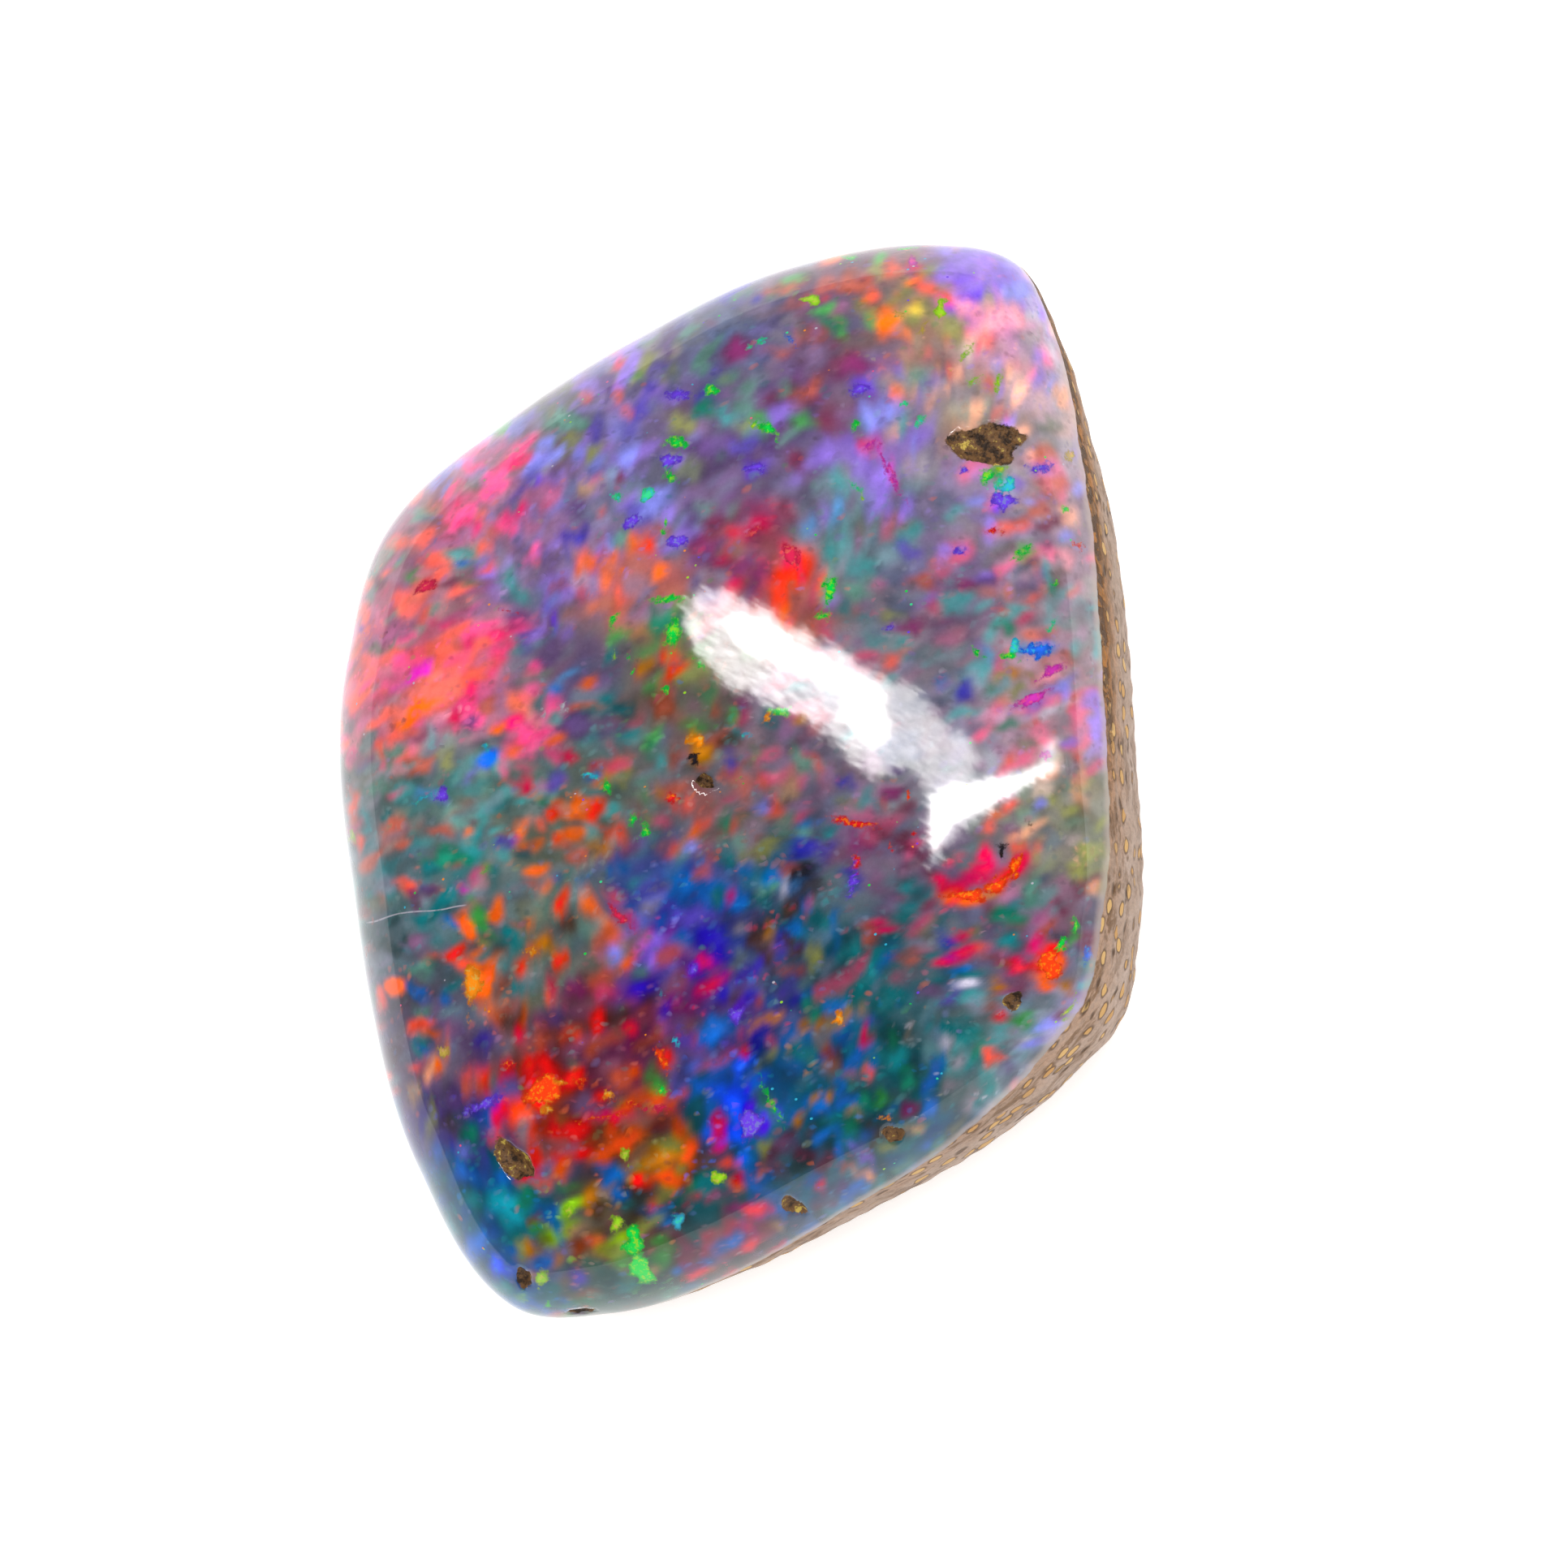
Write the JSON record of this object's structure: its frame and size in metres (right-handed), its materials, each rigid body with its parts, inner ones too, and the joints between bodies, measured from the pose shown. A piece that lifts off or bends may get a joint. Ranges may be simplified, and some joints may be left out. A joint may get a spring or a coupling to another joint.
{
  "type": "opal stone",
  "caption": "Polished freeform boulder opal: a low dome of opal over brown host rock, rounded into a wall and lying on a flat sawn back.",
  "frame": {"origin": "on the flat sawn back, below the middle of the stone's box", "axes": "+Z out of the polished face, +Y along the face towards its narrow top end, +X towards the side where the host rock shows"},
  "size_m": [0.0172, 0.0221, 0.0062],
  "materials": {
    "boulder_opal": "polished"
  },
  "bodies": {
    "root": {"opal_stone": "boulder_opal"}
  },
  "joints": []
}
